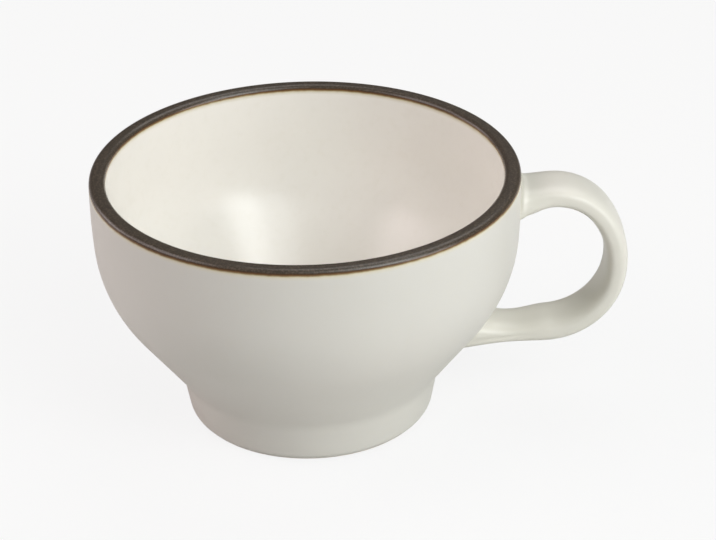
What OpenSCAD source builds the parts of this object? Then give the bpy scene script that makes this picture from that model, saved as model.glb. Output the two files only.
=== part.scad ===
// Cappuccino cup in glazed stoneware: a thrown bowl on a flared foot, a strap handle fixed with slip,
// cream glaze inside and out, and a dark iron glaze over the lip.
// The origin is the centre of the foot on the table, Z is up and the handle points along +X.

/* [Bowl] */
// Outer diameter of the lip
rim_d = 110; // [100:1:122]
// Height of the lip above the table
cup_h = 68.3; // [62:0.1:78]
// Thickness of the glazed wall, which is also the width of the lip
wall_t = 4.3; // [3.6:0.1:5]
// Radius of the two rounded edges of the lip
lip_r = 1.4; // [0.8:0.1:1.6]
// Radius of the slight barrel shape of the upper wall
barrel_r = 180; // [120:5:300]
// Radius of the belly
belly_r = 38; // [30:0.5:44]
// Diameter of the flat part of the inside floor
floor_d = 25; // [15:1:34]
// Thickness of the glazed floor
floor_t = 4.5; // [3.5:0.1:7]

/* [Foot] */
// Diameter of the foot at the table
foot_d = 64.4; // [58:0.2:68]
// How much wider in radius the neck above the foot is than the foot at the table
foot_flare = 2.1; // [1:0.1:4]
// Height of the neck, where the foot meets the bowl
neck_z = 11.7; // [9:0.1:15]
// Radius of the hollow curve at the neck
neck_r = 10; // [4:0.5:16]
// Width of the ring that stands on the table
ring_w = 7.2; // [6.4:0.1:9]
// Radius of the foot's rounded outer edge
foot_edge_r = 2.6; // [2:0.1:3.2]
// Radius of the ring's rounded inner edge
ring_edge_r = 1.5; // [1:0.1:1.8]
// Depth of the hollow under the foot
recess_h = 3.5; // [2.5:0.1:5]
// Radius in the corner of the hollow
recess_r = 1.5; // [0.8:0.1:2]
// Slope of the hollow's side wall from the vertical, in degrees
recess_draft = 12; // [5:1:20]

/* [Handle] */
// Width of the strap
handle_w = 14.8; // [12:0.1:18]
// Thickness of the strap
handle_t = 5.9; // [5:0.1:8]
// Drop from the lip to the middle of the strap where it leaves the wall
handle_drop = 7.8; // [6.5:0.1:12]
// Rise of the strap's upper run from the horizontal, in degrees
handle_rise = 3; // [0:0.5:8]
// Length of the straight upper run, from the middle of the wall
upper_run = 10.3; // [8:0.1:16]
// Radius of the shoulder, the tight bend at the top
shoulder_r = 14.7; // [12:0.1:18]
// Turn of the shoulder, in degrees
shoulder_turn = 55.6; // [50:0.2:60]
// Radius of the back, the long bend that the fingers go round
back_r = 22.6; // [18:0.1:27]
// Turn of the back, in degrees
back_turn = 48.5; // [44:0.5:54]
// Radius of the heel, the bend at the bottom
heel_r = 19; // [15:0.1:22]
// Turn of the heel, in degrees
heel_turn = 74.2; // [70:0.2:78]
// How much the strap draws in on every side from one run to the next, from the shoulder down
strap_taper = 0.02; // [0.02:0.01:0.05]

/* [Joints and glaze] */
// Thickness of the glaze
glaze_t = 0.4; // [0.3:0.05:0.6]
// Thickness of the slip between the strap's ends and the wall
slip_t = 0.4; // [0.3:0.05:0.8]
// Width of the bead of slip around the strap's ends
bead_w = 1.6; // [1:0.1:2]
// Reach of the bead of slip from the wall along the strap
bead_reach = 1.8; // [1:0.1:3]
// Depth of the iron band below the lip
band_drop = 1.8; // [1.7:0.1:2.4]

/* [Hidden] */
$fn = 96;

// Shares of the bowl's height over the neck: where the wall is widest, and where the lower wall would
// reach the lip's width if it ran on straight
widest_share = 0.873;
corner_share = 0.507;
// How round the strap's edges are, as a share of half its thickness
strap_edge_share = 0.88;
// How far each run of the strap reaches into the next, as a share of its thickness
lap_share = 0.05;
// Bands in each bend of the outlines
wall_steps = 4;
belly_steps = 10;
neck_steps = 4;
bottom_steps = 14;
edge_steps = 4;
// Where the glaze stops on the foot's outer edge and on the ring's inner edge, in degrees below the
// horizontal
foot_stop = 55;
ring_stop = 45;
// Two outline points closer than this are one point
same_point = wall_t / 1000;

function turn(a) = [cos(a), sin(a)];
function heading(v) = atan2(v.y, v.x);
function arc_points(centre, r, from, to, steps) =
  [for (i = [0:steps]) centre + r * turn(from + (to - from) * i / steps)];
function reversed(points) = [for (i = [len(points) - 1:-1:0]) points[i]];
function no_repeats(points) = [
  for (i = [0:len(points) - 1])
    if (norm(points[i] - points[(i + 1) % len(points)]) > same_point) points[i]
];
// Point at distance k from the origin along unit normal n, for two such lines at once
function meet(n1, k1, n2, k2) =
  [k1 * n2.y - k2 * n1.y, n1.x * k2 - n2.x * k1] / (n1.x * n2.y - n2.x * n1.y);

// Bowl: the upper wall is an arc about barrel_c, the belly an arc about belly_c, the lower wall a cone
widest_z = neck_z + (cup_h - neck_z) * widest_share;
band_z = cup_h - band_drop;
barrel_c = [rim_d / 2 - sqrt(pow(barrel_r, 2) - pow(cup_h - widest_z, 2)), widest_z];
inner_barrel_r = barrel_r - wall_t;
inner_belly_r = belly_r - wall_t;
function wall_a(r, z) = asin((z - widest_z) / r);

// Neck: the cone runs up from here, and the belly rolls it into the upper wall
neck = [foot_d / 2 + foot_flare, neck_z];
corner = [rim_d / 2, neck_z + (cup_h - neck_z) * corner_share];
cone_a = heading(corner - neck);
cone_n = turn(cone_a - 90);
cone_k = neck * cone_n;
belly_a = cone_a - 90 + acos((cone_k - belly_r - cone_n * barrel_c) / (barrel_r - belly_r));
belly_c = barrel_c + (barrel_r - belly_r) * turn(belly_a);
foot_a = -atan(foot_flare / neck_z);
foot_n = turn(foot_a);
foot_k = neck * foot_n;
neck_c = meet(cone_n, cone_k + neck_r, foot_n, foot_k + neck_r);
up = [0, 1];

// Inside floor: an arc that meets the inner cone and the flat floor
floor_z = recess_h + floor_t;
bottom_r = (cone_k - wall_t - cone_n.x * floor_d / 2 - cone_n.y * floor_z) / (1 + cone_n.y);
bottom_c = [floor_d / 2, floor_z + bottom_r];

// Ring that stands on the table, and the hollow inside it
foot_edge_c = meet(foot_n, foot_k - foot_edge_r, up, foot_edge_r);
recess_n = turn(180 + recess_draft);
recess_k = [foot_d / 2 - ring_w, 0] * recess_n;
ring_edge_c = meet(recess_n, recess_k - ring_edge_r, up, ring_edge_r);
recess_c = meet(recess_n, recess_k + recess_r, up, recess_h - recess_r);

// Lip: two rounded edges that meet the wall's arcs
lip_z = cup_h - lip_r;
lip_out_a = wall_a(barrel_r - lip_r, lip_z);
lip_out_c = barrel_c + (barrel_r - lip_r) * turn(lip_out_a);
lip_in_a = wall_a(inner_barrel_r + lip_r, lip_z);
lip_in_c = barrel_c + (inner_barrel_r + lip_r) * turn(lip_in_a);

// Outlines of the glazed surface at depth 0 and of the clay at depth glaze_t
function outer_points(depth) = concat(
  arc_points(barrel_c, barrel_r - depth, wall_a(barrel_r - depth, band_z), belly_a, wall_steps),
  arc_points(belly_c, belly_r - depth, belly_a, cone_a - 90, belly_steps),
  arc_points(neck_c, neck_r + depth, cone_a + 90, 180 + foot_a, neck_steps),
  arc_points(foot_edge_c, foot_edge_r - depth, foot_a, -foot_stop, edge_steps)
);
function inner_points(depth) = concat(
  arc_points(barrel_c, inner_barrel_r + depth, wall_a(inner_barrel_r + depth, band_z), belly_a, wall_steps),
  arc_points(belly_c, inner_belly_r + depth, belly_a, cone_a - 90, belly_steps),
  arc_points(bottom_c, bottom_r + depth, cone_a - 90, -90, bottom_steps),
  [[0, floor_z - depth]]
);
function lip_points(depth) = concat(
  arc_points(barrel_c, barrel_r - depth, wall_a(barrel_r - depth, band_z), lip_out_a, 1),
  arc_points(lip_out_c, lip_r - depth, lip_out_a, 90, edge_steps),
  arc_points(lip_in_c, lip_r - depth, 90, 180 + lip_in_a, edge_steps),
  arc_points(barrel_c, inner_barrel_r + depth, lip_in_a, wall_a(inner_barrel_r + depth, band_z), 1)
);
function recess_points(depth) = concat(
  arc_points(ring_edge_c, ring_edge_r - depth, ring_stop - 180, recess_draft - 180, edge_steps),
  arc_points(recess_c, recess_r + depth, recess_draft, 90, edge_steps),
  [[0, recess_h + depth]]
);
ring_points = concat(
  arc_points(foot_edge_c, foot_edge_r, -foot_stop, -90, edge_steps),
  arc_points(ring_edge_c, ring_edge_r, -90, ring_stop - 180, edge_steps)
);

// Strap: its middle line is a straight run, three bends and a straight run into the belly
upper_start = [rim_d / 2 - wall_t / 2, cup_h - handle_drop];
shoulder_c = upper_start + upper_run * turn(handle_rise) + shoulder_r * turn(handle_rise - 90);
back_heading = handle_rise - shoulder_turn;
back_c = shoulder_c + (back_r - shoulder_r) * turn(back_heading - 90);
heel_heading = back_heading - back_turn;
heel_c = back_c + (heel_r - back_r) * turn(heel_heading - 90);
lower_heading = heel_heading - heel_turn;
lower_start = heel_c + heel_r * turn(lower_heading + 90);
lower_run = (foot_d / 2 - wall_t - lower_start.x) / cos(lower_heading);

// Cross-section of the strap: two shallow crowns between two round edges
strap_edge_r = handle_t / 2 * strap_edge_share;
strap_edge_y = handle_w / 2 - strap_edge_r;
crown_r = (pow(strap_edge_y, 2) + pow(handle_t / 2, 2) - pow(strap_edge_r, 2)) / (handle_t - 2 * strap_edge_r);
crown_x = crown_r - handle_t / 2;
crown_share = strap_edge_y / (crown_r - strap_edge_r);

module lathe(points) {
  rotate_extrude() polygon(no_repeats(points));
}

// Everything inside the outer surface of the cup, grown from the clay
module filled_cup(growth) {
  lathe(concat(outer_points(glaze_t - growth), [[0, 0], [0, band_z]]));
}

module strap_section(growth) {
  flat_w = 2 * (crown_r + growth) * crown_share;
  intersection() {
    translate([-crown_x, 0]) circle(crown_r + growth);
    translate([crown_x, 0]) circle(crown_r + growth);
    square([2 * handle_t, flat_w], center = true);
  }
  for (side = [-1, 1]) {
    translate([0, side * strap_edge_y]) circle(strap_edge_r + growth);
  }
}

// Each run of the strap ends a short lap inside the next, which is drawn in by the taper
lap = handle_t * lap_share;
function lap_turn(r) = lap / r * 180 / PI;

module straight_run(start, direction, length, growth) {
  rotate([90, 0, 0]) translate(start) rotate([0, 0, direction])
    rotate([90, 0, 90]) linear_extrude(length) strap_section(growth);
}

module bend(centre, r, direction, turned, growth) {
  swept = turned + lap_turn(r);
  rotate([90, 0, 0]) translate(centre) rotate([0, 0, direction + 90 - swept])
    rotate_extrude(angle = swept) translate([r, 0]) strap_section(growth);
}

module upper_arm(growth) {
  straight_run(upper_start, handle_rise, upper_run + lap, growth);
}

module lower_arm(growth) {
  straight_run(lower_start, lower_heading, lower_run, growth - 4 * strap_taper);
}

module strap(growth) {
  upper_arm(growth);
  bend(shoulder_c, shoulder_r, handle_rise, shoulder_turn, growth - strap_taper);
  bend(back_c, back_r, back_heading, back_turn, growth - 2 * strap_taper);
  bend(heel_c, heel_r, heel_heading, heel_turn, growth - 3 * strap_taper);
  lower_arm(growth);
}

// Beads of slip around both ends of the strap, before the wall and the strap are cut away
module beads(growth) {
  intersection() {
    union() {
      upper_arm(bead_w - glaze_t + growth);
      lower_arm(bead_w - glaze_t + growth);
    }
    filled_cup(bead_reach + growth);
  }
}

module cup_body() {
  color("tan") lathe(concat(
    lip_points(glaze_t), inner_points(glaze_t), reversed(recess_points(glaze_t)),
    reversed(ring_points), reversed(outer_points(glaze_t))
  ));
}

module handle() {
  color("wheat") difference() {
    strap(-glaze_t);
    filled_cup(slip_t);
  }
}

module upper_joint_slip() {
  color("burlywood") difference() {
    intersection() {
      upper_arm(bead_w - glaze_t);
      filled_cup(bead_reach);
    }
    filled_cup(0);
    handle();
  }
}

module lower_joint_slip() {
  color("burlywood") difference() {
    intersection() {
      lower_arm(bead_w - glaze_t);
      filled_cup(bead_reach);
    }
    filled_cup(0);
    handle();
  }
}

module rim_band() {
  color("#4b443e") lathe(concat(lip_points(0), reversed(lip_points(glaze_t))));
}

module inner_glaze() {
  color("#ddd6c9") lathe(concat(inner_points(0), reversed(inner_points(glaze_t))));
}

module outer_glaze() {
  color("#d2d1c8") difference() {
    lathe(concat(outer_points(0), reversed(outer_points(glaze_t))));
    upper_arm(bead_w - glaze_t);
    lower_arm(bead_w - glaze_t);
  }
}

module handle_glaze() {
  color("#e1dfd0") difference() {
    union() {
      strap(0);
      beads(glaze_t);
    }
    filled_cup(glaze_t);
    strap(-glaze_t);
    beads(0);
  }
}

module underside_glaze() {
  color("#cfcabc") lathe(concat(recess_points(0), reversed(recess_points(glaze_t))));
}

cup_body();
handle();
upper_joint_slip();
lower_joint_slip();
rim_band();
inner_glaze();
outer_glaze();
handle_glaze();
underside_glaze();
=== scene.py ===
import math

import bmesh
import bpy
from mathutils import Matrix, Vector


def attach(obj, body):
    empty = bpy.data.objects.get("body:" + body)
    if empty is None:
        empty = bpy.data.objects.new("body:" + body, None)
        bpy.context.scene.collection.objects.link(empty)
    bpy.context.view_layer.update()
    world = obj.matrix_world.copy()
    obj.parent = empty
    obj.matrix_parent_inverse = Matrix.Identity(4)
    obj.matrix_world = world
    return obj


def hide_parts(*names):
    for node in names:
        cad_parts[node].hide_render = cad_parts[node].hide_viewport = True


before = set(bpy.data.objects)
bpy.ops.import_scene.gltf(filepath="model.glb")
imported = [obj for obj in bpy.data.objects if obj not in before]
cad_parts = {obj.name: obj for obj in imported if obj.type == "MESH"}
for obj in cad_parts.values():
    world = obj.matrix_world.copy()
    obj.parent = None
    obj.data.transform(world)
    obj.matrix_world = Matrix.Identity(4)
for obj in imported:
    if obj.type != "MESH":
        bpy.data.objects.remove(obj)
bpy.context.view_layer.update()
print("frame loaded:", ", ".join(sorted(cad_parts)))

metresPerMm = 0.001
mergeMm = 0.0005                 # vertices nearer to each other than this are one
tinyEdgeMm = 0.0001              # and an edge shorter than this goes


# Small helpers

def linear(hexColour):
    # sRGB hex to the linear colour that the shaders take
    shares = [int(hexColour[i:i + 2], 16) / 255 for i in (1, 3, 5)]
    return [s / 12.92 if s <= 0.04045 else ((s + 0.055) / 1.055) ** 2.4 for s in shares] + [1.0]


def addNode(owner, kind, settings=None, inputs=None):
    # one node of a material or the world, with its settings and a value or a link for each socket
    node = owner.node_tree.nodes.new(kind)
    for name, value in (settings or {}).items():
        setattr(node, name, value)
    for name, value in (inputs or {}).items():
        if isinstance(value, bpy.types.NodeSocket):
            owner.node_tree.links.new(value, node.inputs[name])
        else:
            node.inputs[name].default_value = value
    return node


def newMaterial(name, surface):
    # a material whose one shader is worked out by the function surface
    material = bpy.data.materials.new(name)
    material.use_nodes = True
    material.node_tree.nodes.clear()
    shader = surface(material)
    output = addNode(material, "ShaderNodeOutputMaterial")
    material.node_tree.links.new(shader.outputs[0], output.inputs["Surface"])
    return material


def patternScale(sizeMm):
    # a noise's scale on Object coordinates, from the size of what it draws
    return 1 / (sizeMm * metresPerMm)


def turned(degrees):
    # the unit vector at that angle
    return Vector((math.cos(math.radians(degrees)), math.sin(math.radians(degrees))))


def headingOf(v):
    return math.degrees(math.atan2(v.y, v.x))


def meet(n1, k1, n2, k2):
    # where two lines cross, each given by its unit normal and its distance from the origin
    return Vector((k1 * n2.y - k2 * n1.y, n1.x * k2 - n2.x * k1)) / (n1.x * n2.y - n2.x * n1.y)


# The cup's outline, in mm: x is the radius and y the height

cupShape = {
    "rimDiameter": 110.0,
    "height": 68.3,
    "wall": 4.3,
    "lipRadius": 1.4,
    "barrelRadius": 180.0,       # the upper wall is slightly barrel shaped
    "bellyRadius": 38.0,
    "widestShare": 0.873,        # shares of the bowl's height over the neck
    "cornerShare": 0.507,        # the lower wall would reach the lip's width here if it ran on straight
    "floorDiameter": 25.0,
    "floorThickness": 4.5,
    "footDiameter": 64.4,
    "footFlare": 2.1,
    "neckHeight": 11.7,
    "neckRadius": 10.0,
    "ringWidth": 7.2,
    "footEdgeRadius": 2.6,
    "ringEdgeRadius": 1.5,
    "recessDepth": 3.5,
    "recessRadius": 1.5,
    "recessDraft": 12.0,
    "glaze": 0.4,
    "bandDrop": 1.8,             # the iron band's depth below the lip
    "footStop": 55.0,            # where the glaze ends on the foot's outer edge, in degrees
    "ringStop": 45.0,            # and on the ring's inner edge
    "skinInset": 0.05,           # how far the fired surface lies inside the nominal one
    "wedges": 16,                # the full turn is this many wedges, merged
    "wedgeSteps": 16,
    "arcSteps": {                # how finely each arc of the outline is divided
        "barrel": 24, "belly": 32, "neck": 16, "footEdge": 10, "bottom": 32,
        "bandEdge": 2, "lip": 12, "ringEdge": 6, "recess": 8, "bareRing": 8,
    },
}


def workOutCup(c):
    # what the arcs of the outline share: names in C are centres, in R radii and in A angles in
    # degrees, and N and K are a straight line's unit normal and its distance from the origin
    o = {}
    bowlHeight = c["height"] - c["neckHeight"]
    o["widestZ"] = c["neckHeight"] + bowlHeight * c["widestShare"]
    drop = c["height"] - o["widestZ"]
    barrelX = c["rimDiameter"] / 2 - math.sqrt(c["barrelRadius"] ** 2 - drop ** 2)
    o["barrelC"] = Vector((barrelX, o["widestZ"]))
    neck = Vector((c["footDiameter"] / 2 + c["footFlare"], c["neckHeight"]))
    corner = Vector((c["rimDiameter"] / 2, c["neckHeight"] + bowlHeight * c["cornerShare"]))
    o["coneA"] = headingOf(corner - neck)
    o["coneN"] = turned(o["coneA"] - 90)
    o["coneK"] = neck.dot(o["coneN"])
    between = c["barrelRadius"] - c["bellyRadius"]
    leaning = (o["coneK"] - c["bellyRadius"] - o["coneN"].dot(o["barrelC"])) / between
    o["bellyA"] = o["coneA"] - 90 + math.degrees(math.acos(leaning))
    o["bellyC"] = o["barrelC"] + between * turned(o["bellyA"])
    o["footA"] = -math.degrees(math.atan(c["footFlare"] / c["neckHeight"]))
    o["footN"] = turned(o["footA"])
    o["footK"] = neck.dot(o["footN"])
    o["neckC"] = meet(o["coneN"], o["coneK"] + c["neckRadius"], o["footN"], o["footK"] + c["neckRadius"])
    up = Vector((0, 1))
    floorZ = c["recessDepth"] + c["floorThickness"]
    o["bottomR"] = (o["coneK"] - c["wall"] - o["coneN"].x * c["floorDiameter"] / 2
                    - o["coneN"].y * floorZ) / (1 + o["coneN"].y)
    o["bottomC"] = Vector((c["floorDiameter"] / 2, floorZ + o["bottomR"]))
    edge = c["footEdgeRadius"]
    o["footEdgeC"] = meet(o["footN"], o["footK"] - edge, up, edge)
    edge = c["ringEdgeRadius"]
    recessN = turned(180 + c["recessDraft"])
    recessK = Vector((c["footDiameter"] / 2 - c["ringWidth"], 0)).dot(recessN)
    o["ringEdgeC"] = meet(recessN, recessK - edge, up, edge)
    o["recessC"] = meet(recessN, recessK + c["recessRadius"], up, c["recessDepth"] - c["recessRadius"])
    lipZ = c["height"] - c["lipRadius"]
    outsideR = c["barrelRadius"] - c["lipRadius"]
    insideR = c["barrelRadius"] - c["wall"] + c["lipRadius"]
    o["lipOutA"] = math.degrees(math.asin((lipZ - o["widestZ"]) / outsideR))
    o["lipInA"] = math.degrees(math.asin((lipZ - o["widestZ"]) / insideR))
    o["lipOutC"] = o["barrelC"] + outsideR * turned(o["lipOutA"])
    o["lipInC"] = o["barrelC"] + insideR * turned(o["lipInA"])
    return o


cup = workOutCup(cupShape)
bandZ = cupShape["height"] - cupShape["bandDrop"]


def wallAngle(radius, z):
    # the angle at which an arc about the barrel's centre reaches height z
    return math.degrees(math.asin((z - cup["widestZ"]) / radius))


# Each arc is (centre, radius, first angle, last angle, steps), at a depth below the fired surface

def outerArcs(depth):
    c, o, s = cupShape, cup, cupShape["arcSteps"]
    barrel = c["barrelRadius"] - depth
    return [
        (o["barrelC"], barrel, wallAngle(barrel, bandZ), o["bellyA"], s["barrel"]),
        (o["bellyC"], c["bellyRadius"] - depth, o["bellyA"], o["coneA"] - 90, s["belly"]),
        (o["neckC"], c["neckRadius"] + depth, o["coneA"] + 90, 180 + o["footA"], s["neck"]),
        (o["footEdgeC"], c["footEdgeRadius"] - depth, o["footA"], -c["footStop"], s["footEdge"]),
    ]


def innerArcs(depth):
    c, o, s = cupShape, cup, cupShape["arcSteps"]
    barrel = c["barrelRadius"] - c["wall"] + depth
    return [
        (o["barrelC"], barrel, wallAngle(barrel, bandZ), o["bellyA"], s["barrel"]),
        (o["bellyC"], c["bellyRadius"] - c["wall"] + depth, o["bellyA"], o["coneA"] - 90, s["belly"]),
        (o["bottomC"], o["bottomR"] + depth, o["coneA"] - 90, -90, s["bottom"]),
    ]


def lipArcs(depth):
    c, o, s = cupShape, cup, cupShape["arcSteps"]
    outer = c["barrelRadius"] - depth
    inner = c["barrelRadius"] - c["wall"] + depth
    return [
        (o["barrelC"], outer, wallAngle(outer, bandZ), o["lipOutA"], s["bandEdge"]),
        (o["lipOutC"], c["lipRadius"] - depth, o["lipOutA"], 90, s["lip"]),
        (o["lipInC"], c["lipRadius"] - depth, 90, 180 + o["lipInA"], s["lip"]),
        (o["barrelC"], inner, o["lipInA"], wallAngle(inner, bandZ), s["bandEdge"]),
    ]


def recessArcs(depth):
    c, o, s = cupShape, cup, cupShape["arcSteps"]
    ringEdge = c["ringEdgeRadius"] - depth
    return [
        (o["ringEdgeC"], ringEdge, c["ringStop"] - 180, c["recessDraft"] - 180, s["ringEdge"]),
        (o["recessC"], c["recessRadius"] + depth, c["recessDraft"], 90, s["recess"]),
    ]


def ringArcs():
    # the foot ring's bare face
    c, o, s = cupShape, cup, cupShape["arcSteps"]
    return [
        (o["footEdgeC"], c["footEdgeRadius"], -c["footStop"], -90, s["bareRing"]),
        (o["ringEdgeC"], c["ringEdgeRadius"], -90, c["ringStop"] - 180, s["bareRing"]),
    ]


def backwards(arcs):
    # the same arcs, drawn from their other end
    return [(centre, radius, last, first, steps)
            for centre, radius, first, last, steps in reversed(arcs)]


def lineTo(bm, tip, point):
    # a straight line from the vertex tip, unless it is there already
    co = Vector((point.x, 0, point.y))
    if tip is not None and (tip.co - co).length < 2 * mergeMm:
        return tip
    vert = bm.verts.new(co)
    if tip is not None:
        bm.edges.new((tip, vert))
    return vert


def arcTo(bm, tip, centre, degrees, steps):
    # the vertex tip, turned about centre, leaves an arc behind it
    spun = bmesh.ops.spin(bm, geom=[tip], cent=(centre.x, 0, centre.y), axis=(0, -1, 0),
                          dvec=(0, 0, 0), angle=math.radians(degrees), steps=steps, use_merge=False)
    return next(item for item in spun["geom_last"] if isinstance(item, bmesh.types.BMVert))


def drawOutline(bm, arcs, startPoint=None):
    tip = None if startPoint is None else lineTo(bm, None, startPoint)
    for centre, radius, first, last, steps in arcs:
        tip = lineTo(bm, tip, centre + radius * turned(first))
        tip = arcTo(bm, tip, centre, last - first, steps)
    return tip


def finishMesh(bm, name, sharpAngle=50):
    # merged, turned outwards, scaled to metres and smooth shaded, as an object at the origin
    bmesh.ops.remove_doubles(bm, verts=bm.verts[:], dist=mergeMm)
    bmesh.ops.dissolve_degenerate(bm, edges=bm.edges[:], dist=tinyEdgeMm)
    bmesh.ops.recalc_face_normals(bm, faces=bm.faces[:])
    bmesh.ops.scale(bm, verts=bm.verts[:], vec=(metresPerMm,) * 3)
    for face in bm.faces:
        face.smooth = True
    mesh = bpy.data.meshes.new(name)
    bm.to_mesh(mesh)
    bm.free()
    mesh.set_sharp_from_angle(angle=math.radians(sharpAngle))
    piece = bpy.data.objects.new(name, mesh)
    bpy.context.scene.collection.objects.link(piece)
    return piece


def throwOnWheel(name, arcs, axisZ=None):
    # an outline turned full circle about the cup's axis. It is closed in itself, or with axisZ it
    # starts on the axis at that height and ends on the axis.
    bm = bmesh.new()
    tip = drawOutline(bm, arcs, None if axisZ is None else Vector((0, axisZ)))
    bm.verts.ensure_lookup_table()
    if axisZ is None:
        bm.edges.new((tip, bm.verts[0]))
    else:
        lineTo(bm, tip, Vector((0, tip.co.z)))
    around = {"cent": (0, 0, 0), "axis": (0, 0, 1), "dvec": (0, 0, 0)}
    wedges = cupShape["wedges"]
    bmesh.ops.spin(bm, geom=bm.verts[:] + bm.edges[:], angle=math.tau / wedges,
                   steps=cupShape["wedgeSteps"], use_merge=False, **around)
    bmesh.ops.spin(bm, geom=bm.verts[:] + bm.edges[:] + bm.faces[:], angle=math.tau * (1 - 1 / wedges),
                   steps=wedges - 1, use_duplicate=True, **around)
    return finishMesh(bm, name)


def standFor(piece, node, material):
    piece.data.materials.append(material)
    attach(piece, "root")
    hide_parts(node)


# Stoneware: iron-bearing clay fired dense, which stays matt and shows fine grog where it is bare

bareClay = {
    "light": "#c9b294",
    "dark": "#a98e6e",
    "grogMm": 0.5,
    "grogBump": 0.4,
    "grogBumpMm": 0.2,
    "roughness": 0.85,
    "ior": 1.5,
}


def bareStoneware(m):
    b = bareClay
    place = addNode(m, "ShaderNodeTexCoord")
    grog = addNode(m, "ShaderNodeTexNoise", inputs={
        "Vector": place.outputs["Object"], "Scale": patternScale(b["grogMm"]), "Detail": 3.0})
    tone = addNode(m, "ShaderNodeMix", {"data_type": "RGBA"}, {
        "Factor": grog.outputs["Fac"], "A": linear(b["dark"]), "B": linear(b["light"])})
    bump = addNode(m, "ShaderNodeBump", inputs={
        "Height": grog.outputs["Fac"],
        "Strength": b["grogBump"], "Distance": b["grogBumpMm"] * metresPerMm})
    return addNode(m, "ShaderNodeBsdfPrincipled", inputs={
        "Base Color": tone.outputs["Result"], "Normal": bump.outputs["Normal"],
        "Roughness": b["roughness"], "IOR": b["ior"]})


clayMaterial = newMaterial("bareStoneware", bareStoneware)


# Glaze: an opaque cream satin glaze, which takes up iron near the lip and runs from black through
# amber to a warm halo there. The same fade, by height, is on the band and on both glazes it meets.

creamGlaze = {
    # one glaze in three copies: the inside's cream is painted lighter than the outside's, as painted
    # light in the bowl, and the handle's is painted a shade lighter and warmer than the outside's, as
    # painted light on the handle
    "inside": {"cream": "#f0eee7", "warm": "#f0ece5", "roughness": 0.22},
    "outside": {"cream": "#d7d5ce", "warm": "#d6d3cb", "roughness": 0.36},
    "handle": {"cream": "#dfddd3", "warm": "#dedacf", "roughness": 0.3},
    "cloudMm": 38.0,             # size of the soft clouds between the two creams
    "satinMm": 0.55,             # the satin surface's fine unevenness
    "satinSpread": 0.05,         # how far it changes the roughness
    "satinBump": 0.12,
    "satinBumpMm": 0.05,
    "flowMm": 17.0,              # the slow waves that the glaze leaves as it runs
    "flowBump": 0.35,
    "flowBumpMm": 0.6,
    "ior": 1.5,
}
ironGlaze = {
    "fade": {                    # depth below the lip in mm, and the colour there
        0.00: "#3b342b",
        0.60: "#3f362c",
        0.95: "#513a26",
        1.25: "#7a5a34",
        1.45: "#a89670",
        1.65: "#cfc5a8",
        2.05: "#d9d3bf",
    },
    "reachMm": 2.6,              # the fade ends at this depth
    "clearFromMm": 1.55,         # and the cream glaze comes through from this one
    "waveMm": 0.16,              # how far the fade's edge wanders up and down
    "wanderMm": 2.2,             # and how long such a wander is
    "thinFromMm": 0.5,           # the iron's own mottle and roughness fade out between these
    "thinToMm": 1.1,
    "mottle": "#615549",
    "mottleMm": 0.45,
    "mottleFrom": 0.45,          # the noise's values between which the mottle comes up
    "mottleTo": 0.75,
    "roughness": 0.3,
}


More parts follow.
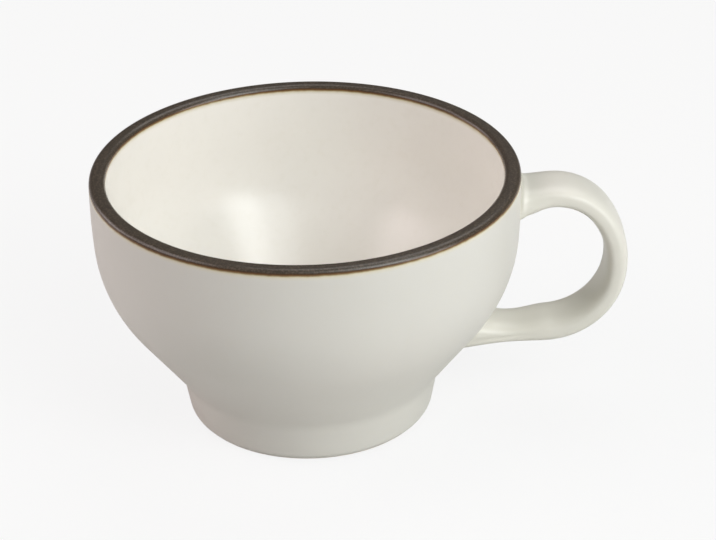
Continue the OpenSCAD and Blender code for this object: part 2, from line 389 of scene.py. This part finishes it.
def glazeSurface(m, look):
    g, iron = creamGlaze, ironGlaze
    reach = iron["reachMm"]
    place = addNode(m, "ShaderNodeTexCoord")
    clouds = addNode(m, "ShaderNodeTexNoise", inputs={
        "Vector": place.outputs["Object"], "Scale": patternScale(g["cloudMm"]), "Detail": 2.0})
    glaze = addNode(m, "ShaderNodeMix", {"data_type": "RGBA"}, {
        "Factor": clouds.outputs["Fac"], "A": linear(look["cream"]), "B": linear(look["warm"])})

    # depth below the lip as a share of the fade's reach, with a wandering edge
    wander = addNode(m, "ShaderNodeTexNoise", inputs={
        "Vector": place.outputs["Object"], "Scale": patternScale(iron["wanderMm"]), "Detail": 3.0})
    height = addNode(m, "ShaderNodeSeparateXYZ", inputs={"Vector": place.outputs["Object"]})
    depth = addNode(m, "ShaderNodeMapRange", {"clamp": True}, {
        "Value": height.outputs["Z"],
        "From Min": cupShape["height"] * metresPerMm,
        "From Max": (cupShape["height"] - reach) * metresPerMm,
        "To Min": 0.0, "To Max": 1.0})
    wave = addNode(m, "ShaderNodeMath", {"operation": "MULTIPLY_ADD"}, {
        0: wander.outputs["Fac"], 1: 2 * iron["waveMm"] / reach, 2: -iron["waveMm"] / reach})
    wavedDepth = addNode(m, "ShaderNodeMath", {"operation": "ADD"}, {
        0: depth.outputs["Result"], 1: wave.outputs["Value"]})

    # the iron's colour by depth, and its mottle
    fade = addNode(m, "ShaderNodeValToRGB", inputs={"Fac": wavedDepth.outputs["Value"]})
    stops = fade.color_ramp.elements
    depths = list(iron["fade"])
    for stop, mm in zip(stops, (depths[0], depths[-1])):
        stop.position = mm / reach
        stop.color = linear(iron["fade"][mm])
    for mm in depths[1:-1]:
        stops.new(mm / reach).color = linear(iron["fade"][mm])
    clear = addNode(m, "ShaderNodeMapRange", {"clamp": True}, {
        "Value": wavedDepth.outputs["Value"], "From Min": iron["clearFromMm"] / reach, "From Max": 1.0,
        "To Min": 0.0, "To Max": 1.0})
    speckle = addNode(m, "ShaderNodeTexNoise", inputs={
        "Vector": place.outputs["Object"], "Scale": patternScale(iron["mottleMm"]), "Detail": 2.0})
    mottled = addNode(m, "ShaderNodeMapRange", {"clamp": True}, {
        "Value": speckle.outputs["Fac"], "From Min": iron["mottleFrom"], "From Max": iron["mottleTo"],
        "To Min": 0.0, "To Max": 1.0})
    thick = addNode(m, "ShaderNodeMapRange", {"clamp": True}, {
        "Value": wavedDepth.outputs["Value"],
        "From Min": iron["thinFromMm"] / reach, "From Max": iron["thinToMm"] / reach,
        "To Min": 1.0, "To Max": 0.0})
    mottle = addNode(m, "ShaderNodeMath", {"operation": "MULTIPLY"}, {
        0: mottled.outputs["Result"], 1: thick.outputs["Result"]})
    ironTone = addNode(m, "ShaderNodeMix", {"data_type": "RGBA"}, {
        "Factor": mottle.outputs["Value"], "A": fade.outputs["Color"], "B": linear(iron["mottle"])})
    colour = addNode(m, "ShaderNodeMix", {"data_type": "RGBA"}, {
        "Factor": clear.outputs["Result"],
        "A": ironTone.outputs["Result"], "B": glaze.outputs["Result"]})

    # the satin surface and the slow waves
    satin = addNode(m, "ShaderNodeTexNoise", inputs={
        "Vector": place.outputs["Object"], "Scale": patternScale(g["satinMm"]), "Detail": 3.0})
    flow = addNode(m, "ShaderNodeTexNoise", inputs={
        "Vector": place.outputs["Object"], "Scale": patternScale(g["flowMm"]), "Detail": 1.0})
    gloss = addNode(m, "ShaderNodeMapRange", inputs={
        "Value": satin.outputs["Fac"],
        "To Min": look["roughness"] - g["satinSpread"], "To Max": look["roughness"] + g["satinSpread"]})
    roughness = addNode(m, "ShaderNodeMix", {"data_type": "FLOAT"}, {
        "Factor": thick.outputs["Result"], "A": gloss.outputs["Result"], "B": iron["roughness"]})
    waves = addNode(m, "ShaderNodeBump", inputs={
        "Height": flow.outputs["Fac"],
        "Strength": g["flowBump"], "Distance": g["flowBumpMm"] * metresPerMm})
    grain = addNode(m, "ShaderNodeBump", inputs={
        "Height": satin.outputs["Fac"], "Normal": waves.outputs["Normal"],
        "Strength": g["satinBump"], "Distance": g["satinBumpMm"] * metresPerMm})
    return addNode(m, "ShaderNodeBsdfPrincipled", inputs={
        "Base Color": colour.outputs["Result"], "Roughness": roughness.outputs["Result"],
        "Normal": grain.outputs["Normal"], "IOR": g["ior"]})


def glazeMaterial(name, place):
    return newMaterial(name, lambda m: glazeSurface(m, creamGlaze[place]))


# painted light: the inside and handle copies are the outside's glaze painted lighter
insidePaintedLightMaterial = glazeMaterial("creamGlazeInsidePaintedLight", "inside")
outsideMaterial = glazeMaterial("creamSatinGlazeOutside", "outside")
handlePaintedLightMaterial = glazeMaterial("creamGlazeHandlePaintedLight", "handle")


# The bowl: clay, its glaze inside and out, the hollow under the foot and the band over the lip

inset = cupShape["skinInset"]
glazeDepth = cupShape["glaze"]
insideFloor = cup["bottomC"].y - cup["bottomR"]
hollowRoof = cupShape["recessDepth"] + glazeDepth

clay = throwOnWheel("clay_body", backwards(recessArcs(glazeDepth)) + backwards(ringArcs())
                    + backwards(outerArcs(glazeDepth)) + lipArcs(glazeDepth)
                    + innerArcs(glazeDepth), axisZ=hollowRoof)
standFor(clay, "cup_body", clayMaterial)

rimBand = throwOnWheel("rim_iron_band", lipArcs(inset) + backwards(lipArcs(glazeDepth)))
standFor(rimBand, "rim_band", insidePaintedLightMaterial)

outside = throwOnWheel("outside_glaze", outerArcs(inset) + backwards(outerArcs(glazeDepth)))
standFor(outside, "outer_glaze", outsideMaterial)

inside = throwOnWheel("inside_glaze", backwards(innerArcs(glazeDepth)) + innerArcs(inset),
                      axisZ=insideFloor - glazeDepth)
standFor(inside, "inner_glaze", insidePaintedLightMaterial)

underside = throwOnWheel("underside_glaze_skin", backwards(recessArcs(glazeDepth))
                         + recessArcs(inset), axisZ=hollowRoof)
standFor(underside, "underside_glaze", outsideMaterial)
print("bowl made")


# The handle: a pulled strap that flares into the wall, on a bead of slip at each end

strap = {                        # in mm and degrees
    "width": 14.8,
    "thickness": 5.9,
    "squareness": 3.0,           # 2 is an ellipse, and more is squarer
    "drop": 7.8,                 # the middle line leaves the wall this far below the lip
    "rise": 3.0,                 # and rises at this angle
    "upperRun": 10.3,
    "bends": [(14.7, 55.6, 28), (22.6, 48.5, 36), (19.0, 74.2, 40)],     # radius, turn and steps
    "sides": 72,
    "rootSteps": 34,
    "crowding": 1.5,             # above 1 the rings stand closer together near the wall
    "beadFromWall": 0.9,         # the slip shows as a low ridge here
    "beadWidth": 0.65,
    "filletReach": 0.5,          # below the strap the glaze runs out in a fillet
    "clayTaper": 0.2,            # the clay strap tapers by this much under the slip
}
roots = {                        # how far the strap widens near the wall, in mm; below 0 it narrows
    "upper": {"below": 2.3, "above": -0.5, "sides": 0.5, "bead": 0.45, "fillet": 1.3, "waist": 0.0},
    "lower": {"below": 0.3, "above": 1.8, "sides": 0.3, "bead": 0.15, "fillet": 0.3, "waist": -1.0},
}
searchReach = 25.0               # the wall is looked for this far to both sides, in mm
searchHalvings = 24


def wallRadius(z):
    # the radius of the cup's outside at height z
    c, o = cupShape, cup
    if z > o["barrelC"].y + c["barrelRadius"] * math.sin(math.radians(o["bellyA"])):
        return o["barrelC"].x + math.sqrt(c["barrelRadius"] ** 2 - (z - o["widestZ"]) ** 2)
    if z > o["bellyC"].y + c["bellyRadius"] * math.sin(math.radians(o["coneA"] - 90)):
        return o["bellyC"].x + math.sqrt(c["bellyRadius"] ** 2 - (z - o["bellyC"].y) ** 2)
    return (o["coneK"] - o["coneN"].y * z) / o["coneN"].x


def distanceToWall(point, direction, depth):
    # how far along direction the point meets the cup's outside, less depth
    low = -searchReach
    high = searchReach
    for _ in range(searchHalvings):
        middle = (low + high) / 2
        p = point + middle * direction
        if math.hypot(p.x, p.y) > wallRadius(p.z) - depth:
            low = middle
        else:
            high = middle
    return low


def inPlane(v):
    # a vector of the drawing, set in the handle's plane
    return Vector((v.x, 0, v.y))


def workOutStrap(s):
    # the middle line: its bends, and the two straight runs as seen from their far ends
    heading = s["rise"]
    wallX = (cupShape["rimDiameter"] - cupShape["wall"]) / 2
    tip = Vector((wallX, cupShape["height"] - s["drop"])) + s["upperRun"] * turned(heading)
    upper = {"end": inPlane(tip), "towardsWall": -inPlane(turned(heading)), "length": s["upperRun"]}
    line = {"upper": upper, "bends": []}
    for radius, turn, steps in s["bends"]:
        centre = tip + radius * turned(heading - 90)
        line["bends"].append((inPlane(centre), turn, steps))
        heading -= turn
        tip = centre + radius * turned(heading + 90)
    towardsWall = inPlane(turned(heading))
    line["lower"] = {"end": inPlane(tip), "towardsWall": towardsWall,
                     "length": distanceToWall(inPlane(tip), towardsWall, 0)}
    return line


strapLine = workOutStrap(strap)


def squaredOff(share):
    # a circle's coordinate, moved out to that of a rounded oblong
    return math.copysign(abs(share) ** (2 / strap["squareness"]), share)


def sectionRing(bm, run, growth):
    # the strap's cross-section, a rounded oblong, at the far end of a straight run
    verts = bmesh.ops.create_circle(bm, segments=strap["sides"], radius=1.0)["verts"]
    for vert in verts:
        vert.co = Vector((0, squaredOff(vert.co.y) * (strap["width"] / 2 + growth),
                          squaredOff(vert.co.x) * (strap["thickness"] / 2 + growth)))
    lean = Vector((1, 0, 0)).rotation_difference(-run["towardsWall"]).to_matrix()
    bmesh.ops.rotate(bm, verts=verts, cent=(0, 0, 0), matrix=lean)
    bmesh.ops.translate(bm, verts=verts, vec=run["end"])
    return verts + list({edge for vert in verts for edge in vert.link_edges})


def sweep(bm, ring, angle=0.0, centre=(0, 0, 0), step=(0, 0, 0), steps=1):
    # sweeps the ring straight or round a bend, and returns the last ring
    spun = bmesh.ops.spin(bm, geom=ring, cent=centre, axis=(0, -1, 0), dvec=step,
                          angle=math.radians(angle), steps=steps, use_merge=False)
    return spun["geom_last"]


def runToWall(bm, ring, run, flare, depth):
    # sweeps the ring along a straight run to the wall, where its rings stand closer and are shaped
    toWall = run["towardsWall"]
    end = run["end"]
    before = set(bm.verts)
    sweep(bm, ring, step=toWall * run["length"] / strap["rootSteps"], steps=strap["rootSteps"])
    down = Vector((toWall.z, 0, -toWall.x))         # square to the run, in the handle's plane
    down *= -math.copysign(1, down.z)
    halves = Vector((strap["thickness"] / 2, strap["width"] / 2, strap["thickness"] / 2))
    for vert in [v for v in bm.verts if v not in before]:
        along = (vert.co - end).dot(toWall)
        offset = vert.co - end - along * toWall
        outward = Vector([offset[i] / halves[i] ** 2 for i in range(3)]).normalized()
        facing = outward.dot(down)                  # 1 is straight down and -1 straight up
        reach = distanceToWall(end + offset, toWall, depth)
        left = (1 - min(along / run["length"], 1)) ** strap["crowding"]     # 1 is the run's start
        size = flare["below"] if facing > 0 else flare["above"]
        size = size * facing ** 2 + flare["sides"] * (1 - facing ** 2)
        growth = size * (1 - left) ** 2 * (1 + 2 * left)
        ridge = math.exp(-((reach * left - strap["beadFromWall"]) / strap["beadWidth"]) ** 2)
        growth += flare["bead"] * (1 - facing ** 2 / 2) * ridge
        fillet = math.exp(-reach * left / strap["filletReach"])
        growth += flare["fillet"] * max(facing, 0) ** 2 * fillet
        growth += flare["waist"] * (1 - facing / 2) * (4 * left * (1 - left)) ** 2
        widened = end + offset + growth * outward
        vert.co = widened + distanceToWall(widened, toWall, depth) * (1 - left) * toWall


def underSlip(flare):
    # the clay's own part of a root: what narrows the strap, and a taper that the slip fills
    taper = strap["clayTaper"]
    return {"below": min(flare["below"], 0) - taper, "above": min(flare["above"], 0) - taper,
            "sides": -taper, "bead": 0.0, "fillet": 0.0, "waist": flare["waist"]}


def pullStrap(growth, depth, flares):
    # the strap's surface from wall to wall, still open at both ends
    bm = bmesh.new()
    ring = sectionRing(bm, strapLine["upper"], growth)
    runToWall(bm, ring, strapLine["upper"], flares["upper"], depth)
    for centre, turn, steps in strapLine["bends"]:
        ring = sweep(bm, ring, angle=-turn, centre=centre, steps=steps)
    runToWall(bm, ring, strapLine["lower"], flares["lower"], depth)
    bmesh.ops.remove_doubles(bm, verts=bm.verts[:], dist=mergeMm)
    bmesh.ops.recalc_face_normals(bm, faces=bm.faces[:])
    return bm


def slipCollar(name, run, flare):
    # the bead of slip between the clay strap, the clay wall and the glaze over them
    bm = bmesh.new()
    runToWall(bm, sectionRing(bm, run, -glazeDepth), run, underSlip(flare), glazeDepth)
    runToWall(bm, sectionRing(bm, run, -glazeDepth), run, flare, glazeDepth)
    bmesh.ops.remove_doubles(bm, verts=bm.verts[:], dist=mergeMm)
    bmesh.ops.bridge_loops(bm, edges=[edge for edge in bm.edges if edge.is_boundary])
    return finishMesh(bm, name)


clayBm = pullStrap(-glazeDepth, 0, {end: underSlip(flare) for end, flare in roots.items()})
bmesh.ops.holes_fill(clayBm, edges=[edge for edge in clayBm.edges if edge.is_boundary])
standFor(finishMesh(clayBm, "handle_clay"), "handle", clayMaterial)

skinBm = pullStrap(-inset, glazeDepth / 2, roots)
bmesh.ops.solidify(skinBm, geom=skinBm.faces[:], thickness=glazeDepth)
handleSkin = finishMesh(skinBm, "handle_glaze_skin", sharpAngle=60)
standFor(handleSkin, "handle_glaze", handlePaintedLightMaterial)

for end in ("upper", "lower"):
    collar = slipCollar(end + "_slip_bead", strapLine[end], roots[end])
    standFor(collar, end + "_joint_slip", clayMaterial)

print("handle made")


# The floor: pale matt paper, nearly white to the camera, with the cup's own soft shadow

paperFloor = {
    "colour": "#dcdcda",
    "whiteShare": 0.84,          # how far plain white covers it, for the camera alone
    "halfWidth": 6.0,            # metres
}


def paleFloor(m):
    ray = addNode(m, "ShaderNodeLightPath")
    paper = addNode(m, "ShaderNodeBsdfDiffuse", inputs={"Color": linear(paperFloor["colour"])})
    white = addNode(m, "ShaderNodeEmission", inputs={"Color": (1, 1, 1, 1), "Strength": 1.0})
    share = addNode(m, "ShaderNodeMath", {"operation": "MULTIPLY"}, {
        0: ray.outputs["Is Camera Ray"], 1: paperFloor["whiteShare"]})
    return addNode(m, "ShaderNodeMixShader", inputs={
        "Fac": share.outputs["Value"], 1: paper.outputs["BSDF"], 2: white.outputs["Emission"]})


floorBm = bmesh.new()
bmesh.ops.create_grid(floorBm, x_segments=1, y_segments=1, size=paperFloor["halfWidth"])
floorMesh = bpy.data.meshes.new("floor")
floorBm.to_mesh(floorMesh)
floorBm.free()
floor = bpy.data.objects.new("floor", floorMesh)
bpy.context.scene.collection.objects.link(floor)
floor.data.materials.append(newMaterial("paleFloor", paleFloor))


# Studio light: soft boxes at the front right, at the left and behind, and a faint tent round them

tentStrength = 0.1
lampAim = Vector((0, 0, 0.04))   # metres
softBoxes = {                    # angles in degrees, 0 towards the handle, and lengths in metres
    "keyBox": {"azimuth": -50, "elevation": 45, "distance": 1.2, "width": 0.9, "height": 0.9,
               "watts": 6.4, "colour": "#fbffff"},
    "windowBox": {"azimuth": -45, "elevation": 30, "distance": 0.9, "width": 0.3, "height": 0.44,
                  "watts": 1.7, "colour": "#fbffff"},
    "handleBox": {"azimuth": -27, "elevation": 12, "distance": 1.2, "width": 0.6, "height": 0.45,
                  "watts": 3.7, "colour": "#ffffff"},
    "leftBox": {"azimuth": -172, "elevation": 39, "distance": 1.2, "width": 0.8, "height": 0.7,
                "watts": 5.4, "colour": "#fff1f2"},
    "sideBox": {"azimuth": 158, "elevation": 13, "distance": 1.2, "width": 0.6, "height": 0.45,
                "watts": 2.6, "colour": "#fff0ee"},
    "backBox": {"azimuth": 60, "elevation": 62, "distance": 1.2, "width": 0.9, "height": 0.9,
                "watts": 4.2, "colour": "#ffffff"},
}

world = bpy.data.worlds.new("tent")
bpy.context.scene.world = world
world.use_nodes = True
world.node_tree.nodes.clear()
rays = addNode(world, "ShaderNodeLightPath")
seen = addNode(world, "ShaderNodeMath", {"operation": "MAXIMUM"}, {
    0: rays.outputs["Is Camera Ray"], 1: rays.outputs["Is Transmission Ray"]})
level = addNode(world, "ShaderNodeMapRange", inputs={
    "Value": seen.outputs["Value"], "To Min": tentStrength, "To Max": 1.0})
air = addNode(world, "ShaderNodeBackground", inputs={
    "Color": (1, 1, 1, 1), "Strength": level.outputs["Result"]})
sky = addNode(world, "ShaderNodeOutputWorld")
world.node_tree.links.new(air.outputs["Background"], sky.inputs["Surface"])

for name, box in softBoxes.items():
    lamp = bpy.data.lights.new(name, "AREA")
    lamp.shape = "RECTANGLE"
    lamp.size = box["width"]
    lamp.size_y = box["height"]
    lamp.energy = box["watts"]
    lamp.color = linear(box["colour"])[:3]
    across = turned(box["azimuth"]) * math.cos(math.radians(box["elevation"]))
    outward = Vector((across.x, across.y, math.sin(math.radians(box["elevation"]))))
    holder = bpy.data.objects.new(name, lamp)
    holder.location = lampAim + outward * box["distance"]
    holder.rotation_euler = outward.to_track_quat("Z", "Y").to_euler()
    bpy.context.scene.collection.objects.link(holder)


# Camera at the photograph's angle

view = {                         # metres and degrees, the lens and the sensor in mm
    "target": Vector((0.013084, 0, 0.038198)),
    "distance": 0.57493,
    "elevation": 28.798,
    "roll": -0.909,
    "lens": 110.61,
    "sensor": 36.0,
    "clipStart": 0.01,
    "clipEnd": 20.0,
}
elevation = math.radians(view["elevation"])
back = Vector((0, -math.cos(elevation), math.sin(elevation)))
cameraData = bpy.data.cameras.new("camera")
cameraData.lens = view["lens"]
cameraData.sensor_width = view["sensor"]
cameraData.clip_start = view["clipStart"]
cameraData.clip_end = view["clipEnd"]
camera = bpy.data.objects.new("camera", cameraData)
upright = back.to_track_quat("Z", "Y").to_matrix()
rolled = Matrix.Rotation(math.radians(view["roll"]), 3, back) @ upright
camera.matrix_world = Matrix.Translation(view["target"] + back * view["distance"]) @ rolled.to_4x4()
bpy.context.scene.collection.objects.link(camera)
bpy.context.scene.camera = camera
bpy.context.scene.view_settings.view_transform = "Standard"
print("floor, lamps and camera placed")

bpy.context.view_layer.update()
